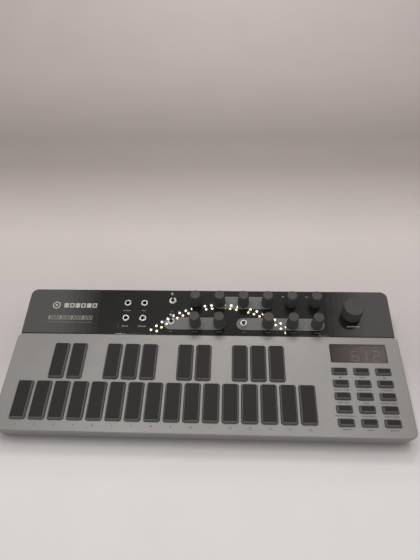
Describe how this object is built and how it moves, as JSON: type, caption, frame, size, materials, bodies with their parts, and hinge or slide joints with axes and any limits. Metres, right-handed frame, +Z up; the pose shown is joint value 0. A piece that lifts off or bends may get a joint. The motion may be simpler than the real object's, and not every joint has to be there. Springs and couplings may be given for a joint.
{
  "type": "synthesizer",
  "caption": "Desktop bass synthesizer and step sequencer: sloped deck of raised pads and function buttons, display, and a rear panel of knobs, toggles and patch sockets.",
  "frame": {"origin": "on the table under the middle of the instrument's box", "axes": "+X to the player's right, +Y to the rear, +Z up"},
  "size_m": [0.323, 0.1317, 0.0429],
  "materials": {
    "silver_deck": "satin silver-grey paint, fine grain",
    "gloss_panel": "polished black with printed grey bands",
    "dark_case": "fine moulded texture",
    "foot_rubber": "matte",
    "screw_steel": "black zinc",
    "silicone": "translucent grey silicone",
    "circuit_board": "solder mask",
    "smoked_lens": "smoked, polished",
    "display_block": "matte black with dim red segments",
    "pot_metal": "stamped cans",
    "nickel": "bright nickel plate",
    "lever_metal": "bright nickel plate",
    "pad_plastic": "satin with a lighter worn edge",
    "button_plastic": "satin with a lighter worn edge",
    "knob_plastic": "matte soft-touch"
  },
  "bodies": {
    "case": {"bottom_case": "dark_case", "top_cover": "silver_deck", "control_panel": "gloss_panel", "rubber_feet": "foot_rubber", "case_screws": "screw_steel", "key_mat": "silicone", "key_board": "circuit_board", "display_window": "smoked_lens", "display_module": "display_block", "panel_board": "circuit_board", "potentiometers": "pot_metal", "jack_sockets": "nickel", "toggle_switches": "nickel", "usb_socket": "nickel"},
    "large_knob_body": {"large_knob": "knob_plastic"},
    "toggle_lever_rear_body": {"toggle_lever_rear": "lever_metal"},
    "toggle_lever_front_body": {"toggle_lever_front": "lever_metal"},
    "toggle_lever_right_body": {"toggle_lever_right": "lever_metal"},
    "knob_rear_1_body": {"knob_rear_1": "knob_plastic"},
    "lower_pad_01_body": {"lower_pad_01": "pad_plastic"},
    "upper_pad_01_body": {"upper_pad_01": "pad_plastic"},
    "button_row_1_body": {"button_row_1": "button_plastic"},
    "knob_rear_2_body": {"knob_rear_2": "knob_plastic"},
    "knob_rear_3_body": {"knob_rear_3": "knob_plastic"},
    "knob_rear_4_body": {"knob_rear_4": "knob_plastic"},
    "knob_rear_5_body": {"knob_rear_5": "knob_plastic"},
    "knob_rear_6_body": {"knob_rear_6": "knob_plastic"},
    "knob_front_1_body": {"knob_front_1": "knob_plastic"},
    "knob_front_2_body": {"knob_front_2": "knob_plastic"},
    "knob_front_3_body": {"knob_front_3": "knob_plastic"},
    "knob_front_4_body": {"knob_front_4": "knob_plastic"},
    "knob_front_5_body": {"knob_front_5": "knob_plastic"},
    "button_row_2_body": {"button_row_2": "button_plastic"},
    "button_row_3_body": {"button_row_3": "button_plastic"},
    "button_row_4_body": {"button_row_4": "button_plastic"},
    "button_row_5_body": {"button_row_5": "button_plastic"},
    "upper_pad_02_body": {"upper_pad_02": "pad_plastic"},
    "upper_pad_03_body": {"upper_pad_03": "pad_plastic"},
    "upper_pad_04_body": {"upper_pad_04": "pad_plastic"},
    "upper_pad_05_body": {"upper_pad_05": "pad_plastic"},
    "upper_pad_06_body": {"upper_pad_06": "pad_plastic"},
    "upper_pad_07_body": {"upper_pad_07": "pad_plastic"},
    "upper_pad_08_body": {"upper_pad_08": "pad_plastic"},
    "upper_pad_09_body": {"upper_pad_09": "pad_plastic"},
    "upper_pad_10_body": {"upper_pad_10": "pad_plastic"},
    "lower_pad_02_body": {"lower_pad_02": "pad_plastic"},
    "lower_pad_03_body": {"lower_pad_03": "pad_plastic"},
    "lower_pad_04_body": {"lower_pad_04": "pad_plastic"},
    "lower_pad_05_body": {"lower_pad_05": "pad_plastic"},
    "lower_pad_06_body": {"lower_pad_06": "pad_plastic"},
    "lower_pad_07_body": {"lower_pad_07": "pad_plastic"},
    "lower_pad_08_body": {"lower_pad_08": "pad_plastic"},
    "lower_pad_09_body": {"lower_pad_09": "pad_plastic"},
    "lower_pad_10_body": {"lower_pad_10": "pad_plastic"},
    "lower_pad_11_body": {"lower_pad_11": "pad_plastic"},
    "lower_pad_12_body": {"lower_pad_12": "pad_plastic"},
    "lower_pad_13_body": {"lower_pad_13": "pad_plastic"},
    "lower_pad_14_body": {"lower_pad_14": "pad_plastic"},
    "lower_pad_15_body": {"lower_pad_15": "pad_plastic"},
    "lower_pad_16_body": {"lower_pad_16": "pad_plastic"}
  },
  "joints": [
    {"name": "large_knob_turn", "type": "hinge", "parent": "case", "child": "large_knob_body", "pos_m": [0.1264, 0.04244, 0.02673], "axis": [0, -0.1599, 0.9871], "range_deg": [-150, 150]},
    {"name": "toggle_lever_rear_flip", "type": "hinge", "parent": "case", "child": "toggle_lever_rear_body", "pos_m": [-0.02965, 0.0534, 0.02911], "axis": [1, 0, 0], "range_deg": [0, 50]},
    {"name": "toggle_lever_front_flip", "type": "hinge", "parent": "case", "child": "toggle_lever_front_body", "pos_m": [-0.02965, 0.03267, 0.02575], "axis": [1, 0, 0], "range_deg": [0, 50]},
    {"name": "toggle_lever_right_flip", "type": "hinge", "parent": "case", "child": "toggle_lever_right_body", "pos_m": [0.0333, 0.03208, 0.02566], "axis": [1, 0, 0], "range_deg": [-50, 0]},
    {"name": "knob_rear_1_turn", "type": "hinge", "parent": "case", "child": "knob_rear_1_body", "pos_m": [-0.00865, 0.05211, 0.0283], "axis": [0, -0.1599, 0.9871], "range_deg": [-150, 150]},
    {"name": "lower_pad_01_press", "type": "slide", "parent": "case", "child": "lower_pad_01_body", "axis": [0, 0.0872, -0.9962], "range_m": [0, 0.001], "stiffness_N_per_m": 800},
    {"name": "upper_pad_01_press", "type": "slide", "parent": "case", "child": "upper_pad_01_body", "axis": [0, 0.0872, -0.9962], "range_m": [0, 0.001], "stiffness_N_per_m": 800},
    {"name": "button_row_1_press", "type": "slide", "parent": "case", "child": "button_row_1_body", "axis": [0, 0.0872, -0.9962], "range_m": [0, 0.001], "stiffness_N_per_m": 900},
    {"name": "knob_rear_2_turn", "type": "hinge", "parent": "case", "child": "knob_rear_2_body", "pos_m": [0.01225, 0.05211, 0.0283], "axis": [0, -0.1599, 0.9871], "range_deg": [-150, 150]},
    {"name": "knob_rear_3_turn", "type": "hinge", "parent": "case", "child": "knob_rear_3_body", "pos_m": [0.0331, 0.05211, 0.0283], "axis": [0, -0.1599, 0.9871], "range_deg": [-150, 150]},
    {"name": "knob_rear_4_turn", "type": "hinge", "parent": "case", "child": "knob_rear_4_body", "pos_m": [0.054, 0.05211, 0.0283], "axis": [0, -0.1599, 0.9871], "range_deg": [-150, 150]},
    {"name": "knob_rear_5_turn", "type": "hinge", "parent": "case", "child": "knob_rear_5_body", "pos_m": [0.0749, 0.05211, 0.0283], "axis": [0, -0.1599, 0.9871], "range_deg": [-150, 150]},
    {"name": "knob_rear_6_turn", "type": "hinge", "parent": "case", "child": "knob_rear_6_body", "pos_m": [0.0958, 0.05211, 0.0283], "axis": [0, -0.1599, 0.9871], "range_deg": [-150, 150]},
    {"name": "knob_front_1_turn", "type": "hinge", "parent": "case", "child": "knob_front_1_body", "pos_m": [-0.00865, 0.03138, 0.02494], "axis": [0, -0.1599, 0.9871], "range_deg": [-150, 150]},
    {"name": "knob_front_2_turn", "type": "hinge", "parent": "case", "child": "knob_front_2_body", "pos_m": [0.01225, 0.03138, 0.02494], "axis": [0, -0.1599, 0.9871], "range_deg": [-150, 150]},
    {"name": "knob_front_3_turn", "type": "hinge", "parent": "case", "child": "knob_front_3_body", "pos_m": [0.054, 0.03138, 0.02494], "axis": [0, -0.1599, 0.9871], "range_deg": [-150, 150]},
    {"name": "knob_front_4_turn", "type": "hinge", "parent": "case", "child": "knob_front_4_body", "pos_m": [0.0749, 0.03138, 0.02494], "axis": [0, -0.1599, 0.9871], "range_deg": [-150, 150]},
    {"name": "knob_front_5_turn", "type": "hinge", "parent": "case", "child": "knob_front_5_body", "pos_m": [0.0958, 0.03138, 0.02494], "axis": [0, -0.1599, 0.9871], "range_deg": [-150, 150]},
    {"name": "button_row_2_press", "type": "slide", "parent": "case", "child": "button_row_2_body", "axis": [0, 0.0872, -0.9962], "range_m": [0, 0.001], "stiffness_N_per_m": 900},
    {"name": "button_row_3_press", "type": "slide", "parent": "case", "child": "button_row_3_body", "axis": [0, 0.0872, -0.9962], "range_m": [0, 0.001], "stiffness_N_per_m": 900},
    {"name": "button_row_4_press", "type": "slide", "parent": "case", "child": "button_row_4_body", "axis": [0, 0.0872, -0.9962], "range_m": [0, 0.001], "stiffness_N_per_m": 900},
    {"name": "button_row_5_press", "type": "slide", "parent": "case", "child": "button_row_5_body", "axis": [0, 0.0872, -0.9962], "range_m": [0, 0.001], "stiffness_N_per_m": 900},
    {"name": "upper_pad_02_press", "type": "slide", "parent": "case", "child": "upper_pad_02_body", "axis": [0, 0.0872, -0.9962], "range_m": [0, 0.001], "stiffness_N_per_m": 800},
    {"name": "upper_pad_03_press", "type": "slide", "parent": "case", "child": "upper_pad_03_body", "axis": [0, 0.0872, -0.9962], "range_m": [0, 0.001], "stiffness_N_per_m": 800},
    {"name": "upper_pad_04_press", "type": "slide", "parent": "case", "child": "upper_pad_04_body", "axis": [0, 0.0872, -0.9962], "range_m": [0, 0.001], "stiffness_N_per_m": 800},
    {"name": "upper_pad_05_press", "type": "slide", "parent": "case", "child": "upper_pad_05_body", "axis": [0, 0.0872, -0.9962], "range_m": [0, 0.001], "stiffness_N_per_m": 800},
    {"name": "upper_pad_06_press", "type": "slide", "parent": "case", "child": "upper_pad_06_body", "axis": [0, 0.0872, -0.9962], "range_m": [0, 0.001], "stiffness_N_per_m": 800},
    {"name": "upper_pad_07_press", "type": "slide", "parent": "case", "child": "upper_pad_07_body", "axis": [0, 0.0872, -0.9962], "range_m": [0, 0.001], "stiffness_N_per_m": 800},
    {"name": "upper_pad_08_press", "type": "slide", "parent": "case", "child": "upper_pad_08_body", "axis": [0, 0.0872, -0.9962], "range_m": [0, 0.001], "stiffness_N_per_m": 800},
    {"name": "upper_pad_09_press", "type": "slide", "parent": "case", "child": "upper_pad_09_body", "axis": [0, 0.0872, -0.9962], "range_m": [0, 0.001], "stiffness_N_per_m": 800},
    {"name": "upper_pad_10_press", "type": "slide", "parent": "case", "child": "upper_pad_10_body", "axis": [0, 0.0872, -0.9962], "range_m": [0, 0.001], "stiffness_N_per_m": 800},
    {"name": "lower_pad_02_press", "type": "slide", "parent": "case", "child": "lower_pad_02_body", "axis": [0, 0.0872, -0.9962], "range_m": [0, 0.001], "stiffness_N_per_m": 800},
    {"name": "lower_pad_03_press", "type": "slide", "parent": "case", "child": "lower_pad_03_body", "axis": [0, 0.0872, -0.9962], "range_m": [0, 0.001], "stiffness_N_per_m": 800},
    {"name": "lower_pad_04_press", "type": "slide", "parent": "case", "child": "lower_pad_04_body", "axis": [0, 0.0872, -0.9962], "range_m": [0, 0.001], "stiffness_N_per_m": 800},
    {"name": "lower_pad_05_press", "type": "slide", "parent": "case", "child": "lower_pad_05_body", "axis": [0, 0.0872, -0.9962], "range_m": [0, 0.001], "stiffness_N_per_m": 800},
    {"name": "lower_pad_06_press", "type": "slide", "parent": "case", "child": "lower_pad_06_body", "axis": [0, 0.0872, -0.9962], "range_m": [0, 0.001], "stiffness_N_per_m": 800},
    {"name": "lower_pad_07_press", "type": "slide", "parent": "case", "child": "lower_pad_07_body", "axis": [0, 0.0872, -0.9962], "range_m": [0, 0.001], "stiffness_N_per_m": 800},
    {"name": "lower_pad_08_press", "type": "slide", "parent": "case", "child": "lower_pad_08_body", "axis": [0, 0.0872, -0.9962], "range_m": [0, 0.001], "stiffness_N_per_m": 800},
    {"name": "lower_pad_09_press", "type": "slide", "parent": "case", "child": "lower_pad_09_body", "axis": [0, 0.0872, -0.9962], "range_m": [0, 0.001], "stiffness_N_per_m": 800},
    {"name": "lower_pad_10_press", "type": "slide", "parent": "case", "child": "lower_pad_10_body", "axis": [0, 0.0872, -0.9962], "range_m": [0, 0.001], "stiffness_N_per_m": 800},
    {"name": "lower_pad_11_press", "type": "slide", "parent": "case", "child": "lower_pad_11_body", "axis": [0, 0.0872, -0.9962], "range_m": [0, 0.001], "stiffness_N_per_m": 800},
    {"name": "lower_pad_12_press", "type": "slide", "parent": "case", "child": "lower_pad_12_body", "axis": [0, 0.0872, -0.9962], "range_m": [0, 0.001], "stiffness_N_per_m": 800},
    {"name": "lower_pad_13_press", "type": "slide", "parent": "case", "child": "lower_pad_13_body", "axis": [0, 0.0872, -0.9962], "range_m": [0, 0.001], "stiffness_N_per_m": 800},
    {"name": "lower_pad_14_press", "type": "slide", "parent": "case", "child": "lower_pad_14_body", "axis": [0, 0.0872, -0.9962], "range_m": [0, 0.001], "stiffness_N_per_m": 800},
    {"name": "lower_pad_15_press", "type": "slide", "parent": "case", "child": "lower_pad_15_body", "axis": [0, 0.0872, -0.9962], "range_m": [0, 0.001], "stiffness_N_per_m": 800},
    {"name": "lower_pad_16_press", "type": "slide", "parent": "case", "child": "lower_pad_16_body", "axis": [0, 0.0872, -0.9962], "range_m": [0, 0.001], "stiffness_N_per_m": 800}
  ]
}
